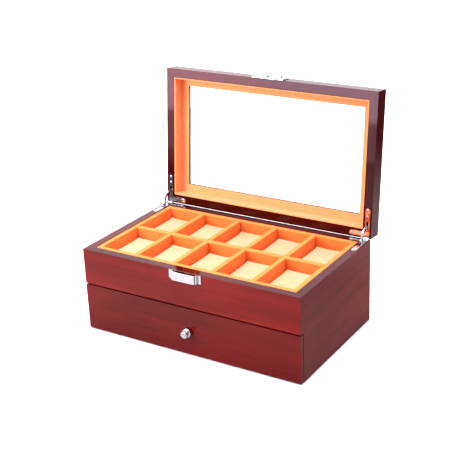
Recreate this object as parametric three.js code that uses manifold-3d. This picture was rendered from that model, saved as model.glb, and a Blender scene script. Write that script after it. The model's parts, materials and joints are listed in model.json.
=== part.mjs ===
// Two-tier watch box: a mahogany case with a lined watch tray on top, a drawer below it and a
// hinged glass lid. Millimetres, +Z up. The origin is the centre of the resting face, X runs
// across the box and the front faces -Y. The lid stands open, resting on its stays.
import * as THREE from 'three';
import { mergeVertices } from 'three/addons/utils/BufferGeometryUtils.js';
import Module from 'manifold-3d';

const wasm = await Module();
wasm.setup();

// ---- driving dimensions ------------------------------------------------------------------
const WIDTH = 340; // outside, left to right
const DEPTH = 205; // outside, front to back
const CASE_TOP = 123; // rim of the case above the table
const WALL = 12.5; // thickness of the wooden walls
const FELT = 1; // felt sheet under the base
const CLEARANCE = 0.3; // gap at glued joints and round fitted pieces

const DRAWER_TOP = 69.5; // top edge of the drawer front
const REVEAL = 2; // shadow gap between the drawer front and the rail above it
const LIP = 6; // thickness of the lip of the drawer front
const LIP_REVEAL = 1.5; // shadow gap between the lip and the case sides
const BASE_BOARD = 6;
const DECK_BOARD = 5; // board between the drawer and the tray
const TRAVEL_GAP = 1.2; // running gap round the drawer box

const LINER = 7.5; // padded velvet boards round the tray
const FLOOR_BOARD = 1.5;
const LONG_DIVIDER = 8.5;
const CROSS_DIVIDER = 7.5;
const COLUMNS = 5;
const ROWS = 2;
const PILLOW_GAP = 1.2; // air between a pillow and its cell
const PILLOW_HEIGHT = 32;
const PILLOW_CORNER = 9;

const LID_GAP = 0.3; // between the rims when the lid is shut
const LID_HEIGHT = 24.5;
const LID_OPEN = 95.4; // degrees from shut to resting on the stays
const WINDOW_MARGIN = 27; // outside edge of the lid to the window
const FLANGE = 2.7; // thin top edge of the lid rails over the glass
const GLASS = 1.6;
const LID_LINING = 2;
const MAT = 0.8; // velvet-covered card under the glass

const LEAF = 1.2; // thickness of the hinge leaves
const LEAF_WIDTH = 7.5;
const LEAF_SIDE_LENGTH = 42; // leg along the side rim
const LEAF_BACK_LENGTH = 33; // leg along the back rim, from the outside of the box
const KNUCKLE_RADIUS = 2.1;
const PIN_RADIUS = 0.9;
const PIN_GAP = 0.15; // running gap round the hinge pin
const PIN_END = 0.4; // of the pin, proud of the knuckles at each side
const AXIS_OUT = 0.15; // hinge axis behind the back of the box
const STAY_RADIUS = 17.5; // of the curved stay, about the hinge axis
const STAY_WIDTH = 4.2;
const STAY_THICKNESS = 1.8;
const STAY_TIP = -14; // degrees below the rim where the stay ends when the lid is open
const STAY_ROOT_DEPTH = 3.5; // its pivot lies this far inside the lid rim
const STUD_RADIUS = 1; // cross stud near the tip, which catches under the case leaf
const STUD_LENGTH = 4.4;
const STUD_ANGLE = -10; // degrees, where the stud stands with the lid open
const SLOT_WIDTH = 2.8; // slots in the leaves and the mortise in the lid rail
const MORTISE_WIDTH = 5.2; // mortise in the case side, with room for the stud

const DRAWER_BOARD = 9;
const DRAWER_FLOOR = 4;
const DRAWER_LIFT = 1; // under the drawer sides
const DRAWER_DIVIDER = 5;
const DRAWER_BACK_GAP = 4;
const DRAWER_PAD = 2;
const DRAWER_CROSSES = 2;

const LATCH_WIDTH = 50;
const LATCH_HEIGHT = 12;
const LATCH_PLATE = 1.2;
const BUTTON_WIDTH = 35.4;
const BUTTON_DEPTH = 2.8;
const BUTTON_FRONT = 6.2; // proud of the case front
const TONGUE_OFFSET = 13; // the lid's tongue is right of the middle
const TONGUE_WIDTH = 10;
const TONGUE_DROP = 8;

// ---- worked out from them ----------------------------------------------------------------
const halfWidth = WIDTH / 2;
const halfDepth = DEPTH / 2;
const innerX = halfWidth - WALL;
const innerY = halfDepth - WALL;
const railBottom = DRAWER_TOP + REVEAL;
const deckTop = railBottom + DECK_BOARD;
const floorTop = deckTop + FLOOR_BOARD;
const trayTop = CASE_TOP - CLEARANCE;
const trayX = innerX - CLEARANCE - LINER;
const trayY = innerY - CLEARANCE - LINER;
const baseTop = FELT + BASE_BOARD;
const lipBack = -halfDepth + LIP;
const axisY = halfDepth + AXIS_OUT;
const axisZ = CASE_TOP + LID_GAP / 2;
const lidBottom = CASE_TOP + LID_GAP;
const lidTop = lidBottom + LID_HEIGHT;
const flangeBottom = lidTop - FLANGE;
const railMiddle = halfWidth - WALL / 2; // middle of a side wall
const cellWidth = (2 * trayX - (COLUMNS - 1) * CROSS_DIVIDER) / COLUMNS;
const cellDepth = (2 * trayY - (ROWS - 1) * LONG_DIVIDER) / ROWS;
const openAngle = THREE.MathUtils.degToRad(LID_OPEN);

// ---- finishes ----------------------------------------------------------------------------
const finish = (color, roughness, metalness = 0) =>
  new THREE.MeshStandardMaterial({ color, roughness, metalness });
const mahogany = () => finish(0x7c2c2e, 0.28);
const paleWood = () => finish(0x8a4a3a, 0.6);
const velvet = () => finish(0xf7a368, 0.95);
const pillowVelvet = () => finish(0xfbc48f, 0.95);
const chrome = () => finish(0xd9dadd, 0.12, 1);
const steel = () => finish(0xa8a9ad, 0.35, 1);
const felt = () => finish(0x2a1512, 1);
const glass = () => {
  const pane = finish(0xf3f7f6, 0.04);
  pane.transparent = true;
  pane.opacity = 0.25;
  return pane;
};

// ---- solids ------------------------------------------------------------------------------
// A box between two corners.
function block(x0, x1, y0, y1, z0, z1) {
  const geometry = new THREE.BoxGeometry(x1 - x0, y1 - y0, z1 - z0);
  return geometry.translate((x0 + x1) / 2, (y0 + y1) / 2, (z0 + z1) / 2);
}

// A round bar along X between x0 and x1.
function barX(radius, x0, x1, y, z, sides = 20) {
  const geometry = new THREE.CylinderGeometry(radius, radius, x1 - x0, sides);
  return geometry.rotateZ(Math.PI / 2).translate((x0 + x1) / 2, y, z);
}

// A round bar along Y between y0 and y1.
function barY(radius, y0, y1, x, z, sides = 20) {
  const geometry = new THREE.CylinderGeometry(radius, radius, y1 - y0, sides);
  return geometry.translate(x, (y0 + y1) / 2, z);
}

// A manifold solid from a closed geometry.
function solid(geometry) {
  const bare = geometry.clone();
  bare.deleteAttribute('normal');
  bare.deleteAttribute('uv');
  const merged = mergeVertices(bare, 1e-4);
  return new wasm.Manifold(
    new wasm.Mesh({
      numProp: 3,
      vertProperties: new Float32Array(merged.attributes.position.array),
      triVerts: new Uint32Array(merged.index.array),
    }),
  );
}

// A geometry from a manifold solid.
function surface(body) {
  const { vertProperties, triVerts } = body.getMesh();
  const geometry = new THREE.BufferGeometry();
  geometry.setAttribute('position', new THREE.BufferAttribute(vertProperties, 3));
  geometry.setIndex(new THREE.BufferAttribute(triVerts, 1));
  geometry.computeVertexNormals();
  return geometry;
}

// Several geometries joined, with others cut away.
function carve(kept, cut = []) {
  let body = solid(kept[0]);
  for (const geometry of kept.slice(1)) {
    body = body.add(solid(geometry));
  }
  for (const geometry of cut) {
    body = body.subtract(solid(geometry));
  }
  return surface(body);
}

function piece(name, geometry, material) {
  const mesh = new THREE.Mesh(geometry, material);
  mesh.name = name;
  return mesh;
}

// A board or moulding with mitred ends. The outline is (distance in from the outer face,
// height), and the front rail's outer face lies at y = -reach.
function mitred(outline, halfLength, reach) {
  const shape = new THREE.Shape(outline.map(([inward, height]) => new THREE.Vector2(inward, height)));
  const geometry = new THREE.ExtrudeGeometry(shape, { depth: 1, steps: 1, bevelEnabled: false });
  const place = geometry.attributes.position;
  for (let i = 0; i < place.count; i += 1) {
    const inward = place.getX(i);
    const height = place.getY(i);
    const end = place.getZ(i) > 0.5 ? 1 : -1;
    place.setXYZ(i, end * (halfLength - inward - CLEARANCE / 2), inward - reach, height);
  }
  geometry.computeVertexNormals();
  return geometry;
}

// The same board turned to one of the four sides of the box.
const SIDES = { front: 0, right: 1, back: 2, left: 3 };
function around(outline, side, x, y) {
  const quarterTurns = SIDES[side];
  const [halfLength, reach] = quarterTurns % 2 === 0 ? [x, y] : [y, x];
  return mitred(outline, halfLength, reach).rotateZ((quarterTurns * Math.PI) / 2);
}

const rectangle = (inward0, inward1, z0, z1) => [
  [inward0, z0],
  [inward1, z0],
  [inward1, z1],
  [inward0, z1],
];

// ---- hinges ------------------------------------------------------------------------------
// Each hinge has two L-shaped leaves let into the rims, a pin at the back edge of the box and
// a curved stay that runs from the lid into a mortise in the case side. hand is +1 or -1.
const leafInner = railMiddle - LEAF_WIDTH / 2;
const leafOuter = railMiddle + LEAF_WIDTH / 2;
const leafBack = axisY - KNUCKLE_RADIUS - 0.1;
const leafFront = leafBack - LEAF_SIDE_LENGTH;

// Box between two x distances from the middle of the box, on the side given by hand.
function handed(hand, x0, x1, y0, y1, z0, z1) {
  return hand > 0 ? block(x0, x1, y0, y1, z0, z1) : block(-x1, -x0, y0, y1, z0, z1);
}

// An upright disc between z0 and z1.
function disc(radius, x, y, z0, z1) {
  const geometry = new THREE.CylinderGeometry(radius, radius, z1 - z0, 28);
  return geometry.rotateX(Math.PI / 2).translate(x, y, (z0 + z1) / 2);
}

const handedBar = (hand, radius, x0, x1, y, z) =>
  hand > 0 ? barX(radius, x0, x1, y, z) : barX(radius, -x1, -x0, y, z);

// Both legs of a leaf with their round ends, grown by room on every side that meets wood.
function leafBlocks(hand, z0, z1, room = 0) {
  const backRim = leafBack - LEAF_WIDTH;
  const end = LEAF_WIDTH / 2;
  const sideEnd = leafFront + end;
  const backEnd = halfWidth - LEAF_BACK_LENGTH + end;
  return [
    handed(hand, leafInner - room, leafOuter + room, sideEnd, leafBack + room, z0, z1),
    handed(hand, backEnd, leafOuter, backRim - room, leafBack + room, z0, z1),
    disc(end + room, hand * railMiddle, sideEnd, z0, z1),
    disc(end + room, hand * backEnd, leafBack - end, z0, z1),
  ];
}

// Wood cut away for a leaf and its knuckles. up is +1 for the case rim, -1 for the lid rim.
function leafRecess(hand, rim, up) {
  const z0 = Math.min(rim, rim - up * (LEAF + CLEARANCE));
  const z1 = Math.max(rim, rim - up * (LEAF + CLEARANCE));
  const room = KNUCKLE_RADIUS + 0.4 - LID_GAP / 2;
  const knuckleZ0 = up > 0 ? rim - room : rim - 1;
  const knuckleZ1 = up > 0 ? rim + 1 : rim + room;
  const knuckles = handed(
    hand,
    leafInner - PIN_END - CLEARANCE,
    leafOuter + PIN_END + CLEARANCE,
    leafBack - CLEARANCE,
    halfDepth + 1,
    knuckleZ0,
    knuckleZ1,
  );
  const [low, high] = up > 0 ? [z0, z1 + 1] : [z0 - 1, z1];
  return [...leafBlocks(hand, low, high, CLEARANCE), knuckles];
}

// The slot in a leaf for the stay, long enough for the stay's swing.
const slotFront = axisY - STAY_RADIUS - STAY_WIDTH / 2 - 5.2;
const slotBack = axisY - STAY_RADIUS + STAY_WIDTH / 2 + 1.2;
function staySlot(hand, z0, z1) {
  return handed(hand, railMiddle - SLOT_WIDTH / 2, railMiddle + SLOT_WIDTH / 2, slotFront, slotBack, z0, z1);
}

// The mortises for the stay: a deep one in the case side, which runs on into the end of the
// back, and a shallow one in the lid rail.
const mortiseBack = halfDepth - 3;
const mortiseFront = axisY - STAY_RADIUS - 11;
const mortiseBottom = CASE_TOP - 30;
function caseMortise(hand) {
  const [x0, x1] = [railMiddle - MORTISE_WIDTH / 2, railMiddle + MORTISE_WIDTH / 2];
  return handed(hand, x0, x1, mortiseFront, mortiseBack, mortiseBottom, CASE_TOP + 1);
}
function lidMortise(hand) {
  const [x0, x1] = [railMiddle - SLOT_WIDTH / 2, railMiddle + SLOT_WIDTH / 2];
  return handed(hand, x0, x1, slotFront - 1, slotBack + 1, lidBottom - 1, lidBottom + 8);
}

const KNUCKLES = 3;
const knuckleLength = (LEAF_WIDTH - (KNUCKLES - 1) * CLEARANCE) / KNUCKLES;
const knuckleStart = (index) => leafInner + index * (knuckleLength + CLEARANCE);

// One leaf: two legs, its knuckles on webs, the pin bore and the stay slot.
function leaf(hand, rim, up, knuckles) {
  const z0 = Math.min(rim, rim - up * LEAF);
  const z1 = Math.max(rim, rim - up * LEAF);
  const kept = leafBlocks(hand, z0, z1);
  for (const index of knuckles) {
    const start = knuckleStart(index);
    kept.push(handed(hand, start, start + knuckleLength, leafBack - 1, axisY, z0, z1));
    kept.push(handedBar(hand, KNUCKLE_RADIUS, start, start + knuckleLength, axisY, axisZ));
  }
  const bore = handedBar(hand, PIN_RADIUS + PIN_GAP, leafInner - 1, leafOuter + 1, axisY, axisZ);
  return carve(kept, [bore, staySlot(hand, z0 - 1, z1 + 1)]);
}

// The stay, drawn with the lid open: an arc about the hinge axis from its pivot inside the
// lid rail to a tip under the case leaf, with a cross stud too wide for the leaf's slot.
const rootAngle = openAngle + Math.asin((LID_GAP / 2 + STAY_ROOT_DEPTH) / STAY_RADIUS);
const tipAngle = THREE.MathUtils.degToRad(STAY_TIP);
const studAngle = THREE.MathUtils.degToRad(STUD_ANGLE);
function stay(hand) {
  const inside = STAY_RADIUS - STAY_WIDTH / 2;
  const outside = STAY_RADIUS + STAY_WIDTH / 2;
  const outline = new THREE.Shape();
  outline.absarc(0, 0, outside, rootAngle, tipAngle, true);
  outline.absarc(0, 0, inside, tipAngle, rootAngle, false);
  const rootX = STAY_RADIUS * Math.cos(rootAngle);
  const rootY = STAY_RADIUS * Math.sin(rootAngle);
  outline.absarc(rootX, rootY, STAY_WIDTH / 2, rootAngle + Math.PI, rootAngle, true);
  const settings = { depth: STAY_THICKNESS, bevelEnabled: false, curveSegments: 16 };
  const geometry = new THREE.ExtrudeGeometry(outline, settings);
  // the outline's x runs towards the front of the box, its y up and its depth along -X
  geometry.applyMatrix4(new THREE.Matrix4().set(0, 0, -1, 0, -1, 0, 0, 0, 0, 1, 0, 0, 0, 0, 0, 1));
  geometry.translate(hand * railMiddle + STAY_THICKNESS / 2, axisY, axisZ);
  const stud = handedBar(
    hand,
    STUD_RADIUS,
    railMiddle - STUD_LENGTH / 2,
    railMiddle + STUD_LENGTH / 2,
    axisY - STAY_RADIUS * Math.cos(studAngle),
    axisZ + STAY_RADIUS * Math.sin(studAngle),
  );
  return carve([geometry, stud]);
}

const hingePin = (hand) =>
  handedBar(hand, PIN_RADIUS, leafInner - PIN_END, leafOuter + PIN_END, axisY, axisZ);

// ---- case --------------------------------------------------------------------------------
// Side walls stop behind the lip of the drawer front and are mitred to the front rail above it.
function caseSide(hand) {
  const side = hand > 0 ? 'right' : 'left';
  const wall = around(rectangle(0, WALL, FELT, CASE_TOP), side, halfWidth, halfDepth);
  const lipRoom = handed(
    hand,
    innerX - 1,
    halfWidth + 1,
    -halfDepth - 1,
    lipBack + LIP_REVEAL,
    FELT - 1,
    railBottom,
  );
  const cuts = [lipRoom, ...leafRecess(hand, CASE_TOP, 1), caseMortise(hand)];
  // square front end below the rail, where the mitre would leave a notch
  const cheek = handed(
    hand,
    innerX,
    halfWidth,
    lipBack + LIP_REVEAL,
    -innerY + 1,
    FELT,
    railBottom - CLEARANCE,
  );
  return carve([wall, cheek], cuts);
}

function caseBack() {
  const wall = around(rectangle(0, WALL, FELT, CASE_TOP), 'back', halfWidth, halfDepth);
  const cuts = [1, -1].flatMap((hand) => [...leafRecess(hand, CASE_TOP, 1), caseMortise(hand)]);
  return carve([wall], cuts);
}

// The front rail has a blind bore for the spring of the latch button.
const latchZ = CASE_TOP - 0.5 - LATCH_HEIGHT / 2;
const SPRING_BORE = 3.2;
const SPRING_BORE_DEPTH = 9;
function caseFront() {
  const rail = around(rectangle(0, WALL, railBottom, CASE_TOP), 'front', halfWidth, halfDepth);
  const bore = barY(SPRING_BORE, -halfDepth - 1, -halfDepth + SPRING_BORE_DEPTH, 0, latchZ);
  return carve([rail], [bore]);
}

const caseBase = () =>
  block(-innerX, innerX, lipBack + CLEARANCE, innerY, FELT, baseTop);
const caseDeck = () => block(-innerX, innerX, -innerY, innerY, railBottom, deckTop);
const FELT_INSET = 5;
function baseFelt() {
  const x = halfWidth - FELT_INSET;
  return block(-x, x, lipBack + FELT_INSET, halfDepth - FELT_INSET, 0, FELT);
}

// ---- tray --------------------------------------------------------------------------------
function trayFloor() {
  const x = innerX - CLEARANCE;
  const y = innerY - CLEARANCE;
  return block(-x, x, -y, y, deckTop, floorTop);
}

function trayLiner(side) {
  const outline = rectangle(0, LINER, floorTop, trayTop);
  return around(outline, side, innerX - CLEARANCE, innerY - CLEARANCE);
}

const crossX = (index) => -trayX + (index + 1) * cellWidth + (index + 0.5) * CROSS_DIVIDER;
const halving = (floorTop + trayTop) / 2; // the dividers are halved into each other here

// The long divider is notched from below, the cross dividers from above.
function longDivider() {
  const end = trayX - CLEARANCE;
  const board = block(-end, end, -LONG_DIVIDER / 2, LONG_DIVIDER / 2, floorTop, trayTop);
  const notches = [];
  for (let i = 0; i < COLUMNS - 1; i += 1) {
    const half = CROSS_DIVIDER / 2 + CLEARANCE;
    notches.push(
      block(crossX(i) - half, crossX(i) + half, -LONG_DIVIDER, LONG_DIVIDER, floorTop - 1, halving),
    );
  }
  return carve([board], notches);
}

function crossDivider(index) {
  const x = crossX(index);
  const end = trayY - CLEARANCE;
  const half = CROSS_DIVIDER / 2;
  const room = LONG_DIVIDER / 2 + CLEARANCE;
  const board = block(x - half, x + half, -end, end, floorTop, trayTop);
  return carve([board], [block(x - half - 1, x + half + 1, -room, room, halving - CLEARANCE, trayTop + 1)]);
}

const cellX = (column) => -trayX + (column + 0.5) * cellWidth + column * CROSS_DIVIDER;
const cellY = (row) => (row === 0 ? -1 : 1) * (LONG_DIVIDER + cellDepth) / 2;

// A pillow is a bolster lying across its cell: flat underneath, soft round shoulders on top.
function pillow(column, row) {
  const halfLong = cellDepth / 2 - PILLOW_GAP;
  const low = floorTop + CLEARANCE;
  const top = low + PILLOW_HEIGHT;
  const foot = 3;
  const outline = new THREE.Shape();
  outline.moveTo(-halfLong + foot, low);
  outline.lineTo(halfLong - foot, low);
  outline.absarc(halfLong - foot, low + foot, foot, -Math.PI / 2, 0, false);
  outline.absarc(halfLong - PILLOW_CORNER, top - PILLOW_CORNER, PILLOW_CORNER, 0, Math.PI / 2, false);
  outline.absarc(PILLOW_CORNER - halfLong, top - PILLOW_CORNER, PILLOW_CORNER, Math.PI / 2, Math.PI, false);
  outline.absarc(foot - halfLong, low + foot, foot, Math.PI, 1.5 * Math.PI, false);
  const length = cellWidth - 2 * PILLOW_GAP;
  const settings = { depth: length, bevelEnabled: false, curveSegments: 5 };
  const geometry = new THREE.ExtrudeGeometry(outline, settings);
  // the outline's x becomes Y, its y becomes Z and its depth X
  geometry.applyMatrix4(new THREE.Matrix4().set(0, 0, 1, 0, 1, 0, 0, 0, 0, 1, 0, 0, 0, 0, 0, 1));
  return geometry.translate(cellX(column) - length / 2, cellY(row), 0);
}

// ---- latch -------------------------------------------------------------------------------
const latchFace = -halfDepth - LATCH_PLATE;
const buttonBack = -halfDepth - BUTTON_FRONT + BUTTON_DEPTH;
const latchLow = latchZ - LATCH_HEIGHT / 2;
const latchHigh = latchZ + LATCH_HEIGHT / 2;
const STEM_RADIUS = 1.3;
const SPRING_RADIUS = 2.3;
const SPRING_WIRE = 0.35;
const SPRING_TURNS = 5;
const CHEEK = 2;

// Mounting plate with a cheek at each end of the button.
function latchHousing() {
  const half = LATCH_WIDTH / 2;
  const plate = block(-half, half, latchFace, -halfDepth, latchLow, latchHigh);
  const cheeks = [-1, 1].map((hand) => {
    const inner = BUTTON_WIDTH / 2 + CLEARANCE;
    return handed(hand, inner, inner + CHEEK, buttonBack - 1, latchFace, latchLow, latchHigh);
  });
  const hole = barY(STEM_RADIUS + CLEARANCE, latchFace - 1, -halfDepth + 1, 0, latchZ);
  return carve([plate, ...cheeks], [hole]);
}

// The button is a bar across the housing, with a stem that runs in the spring and a nib that
// holds the lid's tongue.
const NIB = { width: 4, height: 2, reach: 1 };
function latchButton() {
  const half = BUTTON_WIDTH / 2;
  const bar = block(-half, half, -halfDepth - BUTTON_FRONT, buttonBack, latchLow - 0.4, latchHigh - 0.4);
  const stem = barY(STEM_RADIUS, buttonBack - 0.5, -halfDepth + 5, 0, latchZ, 16);
  const nib = block(
    TONGUE_OFFSET - NIB.width / 2,
    TONGUE_OFFSET + NIB.width / 2,
    buttonBack - 0.5,
    buttonBack + NIB.reach,
    latchZ - NIB.height / 2,
    latchZ + NIB.height / 2,
  );
  return carve([bar, stem, nib]);
}

class Coil extends THREE.Curve {
  constructor(radius, length, turns) {
    super();
    Object.assign(this, { radius, length, turns });
  }

  getPoint(t, target = new THREE.Vector3()) {
    const angle = 2 * Math.PI * this.turns * t;
    return target.set(this.radius * Math.cos(angle), this.length * t, this.radius * Math.sin(angle));
  }
}

function latchSpring() {
  const wire = new THREE.Shape();
  wire.absarc(0, 0, SPRING_WIRE, 0, 2 * Math.PI, false);
  const length = SPRING_BORE_DEPTH - 4 * SPRING_WIRE;
  const path = new Coil(SPRING_RADIUS, length, SPRING_TURNS);
  const settings = { steps: SPRING_TURNS * 12, extrudePath: path, curveSegments: 4, bevelEnabled: false };
  const geometry = new THREE.ExtrudeGeometry(wire, settings);
  return geometry.translate(0, -halfDepth + 2 * SPRING_WIRE, latchZ);
}

// The catch on the lid, drawn with the lid shut: a plate on the front of the lid and a
// cranked tongue, with an eye for the nib, that drops behind the button.
const tongueBack = -halfDepth - LATCH_PLATE - 0.5;
const TONGUE_THICKNESS = 1;
const CATCH_HEIGHT = 18;
function lidCatch() {
  const half = LATCH_WIDTH / 2;
  const face = -halfDepth - CLEARANCE;
  const low = lidBottom + 0.6;
  const plate = block(-half, half, face - LATCH_PLATE, face, low, low + CATCH_HEIGHT);
  const [x0, x1] = [TONGUE_OFFSET - TONGUE_WIDTH / 2, TONGUE_OFFSET + TONGUE_WIDTH / 2];
  const tongueFront = tongueBack - TONGUE_THICKNESS;
  const shoulder = block(x0, x1, tongueFront, face - LATCH_PLATE / 2, low, low + 2.2);
  const tongue = block(x0, x1, tongueFront, tongueBack, CASE_TOP - TONGUE_DROP - 1, low + 1);
  const eye = block(
    TONGUE_OFFSET - NIB.width / 2 - 0.5,
    TONGUE_OFFSET + NIB.width / 2 + 0.5,
    tongueFront - 1,
    tongueBack + 1,
    latchZ - NIB.height / 2 - 0.5,
    latchZ + NIB.height / 2 + 0.5,
  );
  return carve([plate, shoulder, tongue], [eye]);
}

// ---- lid, drawn shut ---------------------------------------------------------------------
function lidRail(side) {
  const outline = [
    [0, lidBottom],
    [WALL, lidBottom],
    [WALL, flangeBottom],
    [WINDOW_MARGIN, flangeBottom],
    [WINDOW_MARGIN, lidTop],
    [0, lidTop],
  ];
  const rail = around(outline, side, halfWidth, halfDepth);
  const cuts = {
    front: [],
    right: [...leafRecess(1, lidBottom, -1), lidMortise(1)],
    back: [...leafRecess(1, lidBottom, -1), ...leafRecess(-1, lidBottom, -1)],
    left: [...leafRecess(-1, lidBottom, -1), lidMortise(-1)],
  };
  return carve([rail], cuts[side]);
}

const glassTop = flangeBottom - CLEARANCE;
const glassBottom = glassTop - GLASS;
const matTop = glassBottom - CLEARANCE;
const matBottom = matTop - MAT;
function lidGlass() {
  const x = innerX - CLEARANCE;
  const y = innerY - CLEARANCE;
  return block(-x, x, -y, y, glassBottom, glassTop);
}

// Velvet lining of one side of the lid: a wall strip and the mat strip under the glass.
function lidLining(side) {
  const edge = WINDOW_MARGIN - WALL - CLEARANCE;
  const outline = [
    [0, lidBottom + CLEARANCE],
    [LID_LINING, lidBottom + CLEARANCE],
    [LID_LINING, matBottom],
    [edge, matBottom],
    [edge, matTop],
    [0, matTop],
  ];
  return around(outline, side, innerX - CLEARANCE, innerY - CLEARANCE);
}

// ---- drawer ------------------------------------------------------------------------------
const drawerX = innerX - TRAVEL_GAP;
const drawerLow = baseTop + DRAWER_LIFT;
const drawerHigh = DRAWER_TOP - 3;
const drawerBackY = innerY - DRAWER_BACK_GAP;
const drawerInX = drawerX - DRAWER_BOARD;
const drawerInY = drawerBackY - DRAWER_BOARD;
const drawerFloorLow = drawerLow + 3;
const drawerFloorTop = drawerFloorLow + DRAWER_FLOOR;
const drawerPadTop = drawerFloorTop + DRAWER_PAD;
const knobZ = (FELT + DRAWER_TOP) / 2;
const SCREW_SHANK = 1.9;
const SCREW_HEAD = 4;
const SCREW_HEAD_HEIGHT = 2.5;

// A lipped front: the lip covers the ends of the case sides and the edge of the base board.
function drawerFront() {
  const lip = block(-halfWidth, halfWidth, -halfDepth, lipBack, FELT + 1, DRAWER_TOP);
  const core = block(-drawerX, drawerX, lipBack - 1, -innerY, drawerLow, drawerHigh);
  const hole = barY(SCREW_SHANK + CLEARANCE, -halfDepth - 1, -innerY + 1, 0, knobZ);
  const counterbore = barY(SCREW_HEAD + 0.6, -innerY - SCREW_HEAD_HEIGHT - 0.6, -innerY + 1, 0, knobZ);
  return carve([lip, core], [hole, counterbore]);
}

const drawerSide = (hand) =>
  handed(hand, drawerInX, drawerX, -innerY, drawerBackY, drawerLow, drawerHigh);
const drawerBack = () =>
  block(-drawerInX, drawerInX, drawerInY, drawerBackY, drawerLow, drawerHigh);
const drawerFloor = () =>
  block(-drawerInX, drawerInX, -innerY, drawerInY, drawerFloorLow, drawerFloorTop);
const drawerPad = () =>
  block(
    -drawerInX + CLEARANCE,
    drawerInX - CLEARANCE,
    -innerY + CLEARANCE,
    drawerInY - CLEARANCE,
    drawerFloorTop,
    drawerPadTop,
  );

const drawerMiddleY = (-innerY + drawerInY) / 2;
const DRAWER_DIVIDER_HEIGHT = 36;
const dividerTop = drawerPadTop + DRAWER_DIVIDER_HEIGHT;
const dividerHalving = drawerPadTop + DRAWER_DIVIDER_HEIGHT / 2;
const drawerCrossX = (index) =>
  (2 * drawerInX * (index + 1)) / (DRAWER_CROSSES + 1) - drawerInX;

function drawerLongDivider() {
  const half = DRAWER_DIVIDER / 2;
  const end = drawerInX - CLEARANCE;
  const board = block(-end, end, drawerMiddleY - half, drawerMiddleY + half, drawerPadTop, dividerTop);
  const notches = [];
  for (let i = 0; i < DRAWER_CROSSES; i += 1) {
    const x = drawerCrossX(i);
    const room = half + CLEARANCE;
    notches.push(
      block(x - room, x + room, drawerMiddleY - 9, drawerMiddleY + 9, drawerPadTop - 1, dividerHalving),
    );
  }
  return carve([board], notches);
}

function drawerCrossDivider(index) {
  const half = DRAWER_DIVIDER / 2;
  const room = half + CLEARANCE;
  const x = drawerCrossX(index);
  const board = block(
    x - half,
    x + half,
    -innerY + CLEARANCE,
    drawerInY - CLEARANCE,
    drawerPadTop,
    dividerTop,
  );
  const notch = block(
    x - half - 1,
    x + half + 1,
    drawerMiddleY - room,
    drawerMiddleY + room,
    dividerHalving - CLEARANCE,
    dividerTop + 1,
  );
  return carve([board], [notch]);
}

// A turned piece about an axis along Y through the knob, from (radius, distance in front of
// the drawer face) points.
function turned(profile, sides) {
  const points = profile.map(([radius, reach]) => new THREE.Vector2(radius, reach));
  const geometry = new THREE.LatheGeometry(points, sides);
  return geometry.rotateX(Math.PI).translate(0, -halfDepth, knobZ);
}

// Knob: a neck, a broad collar, a groove and a small domed button, bored for its screw.
function drawerKnob() {
  const bore = SCREW_SHANK + CLEARANCE;
  const profile = [
    [bore, 0],
    [4.2, 0],
    [3.6, 1.5],
    [6.1, 2],
    [6.7, 3],
    [6.7, 4.6],
    [6.1, 5.6],
    [3.4, 6.4],
    [3.4, 8],
    [4.7, 8.4],
    [5.3, 9.4],
    [5.3, 10.8],
    [4.7, 11.9],
    [3, 12.5],
    [0, 12.5],
    [0, 7.5],
    [bore, 7.5],
    [bore, 0],
  ];
  return turned(profile, 28);
}

function knobScrew() {
  const headBack = -WALL + 0.1;
  const profile = [
    [0, headBack],
    [SCREW_HEAD, headBack],
    [SCREW_HEAD, headBack + SCREW_HEAD_HEIGHT],
    [SCREW_SHANK, headBack + SCREW_HEAD_HEIGHT],
    [SCREW_SHANK, 7],
    [0, 7],
  ];
  return turned(profile, 20);
}

// ---- assembly ----------------------------------------------------------------------------
const box = new THREE.Group();

box.add(piece('case_side_left', caseSide(-1), mahogany()));
box.add(piece('case_side_right', caseSide(1), mahogany()));
box.add(piece('case_back', caseBack(), mahogany()));
box.add(piece('case_front_rail', caseFront(), mahogany()));
box.add(piece('case_base', caseBase(), paleWood()));
box.add(piece('case_deck', caseDeck(), paleWood()));
box.add(piece('base_felt', baseFelt(), felt()));

box.add(piece('tray_floor', trayFloor(), velvet()));
for (const side of Object.keys(SIDES)) {
  box.add(piece(`tray_liner_${side}`, trayLiner(side), velvet()));
}
box.add(piece('tray_divider_long', longDivider(), velvet()));
for (let i = 0; i < COLUMNS - 1; i += 1) {
  box.add(piece(`tray_divider_cross_${i + 1}`, crossDivider(i), velvet()));
}
for (let row = 0; row < ROWS; row += 1) {
  for (let column = 0; column < COLUMNS; column += 1) {
    const name = `pillow_${row === 0 ? 'front' : 'back'}_${column + 1}`;
    box.add(piece(name, pillow(column, row), pillowVelvet()));
  }
}

box.add(piece('latch_housing', latchHousing(), chrome()));
box.add(piece('latch_button', latchButton(), chrome()));
box.add(piece('latch_spring', latchSpring(), steel()));

for (const [side, hand] of [['left', -1], ['right', 1]]) {
  box.add(piece(`hinge_case_leaf_${side}`, leaf(hand, CASE_TOP, 1, [0, 2]), chrome()));
  box.add(piece(`hinge_pin_${side}`, hingePin(hand), steel()));
  box.add(piece(`lid_stay_${side}`, stay(hand), chrome()));
}

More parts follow.
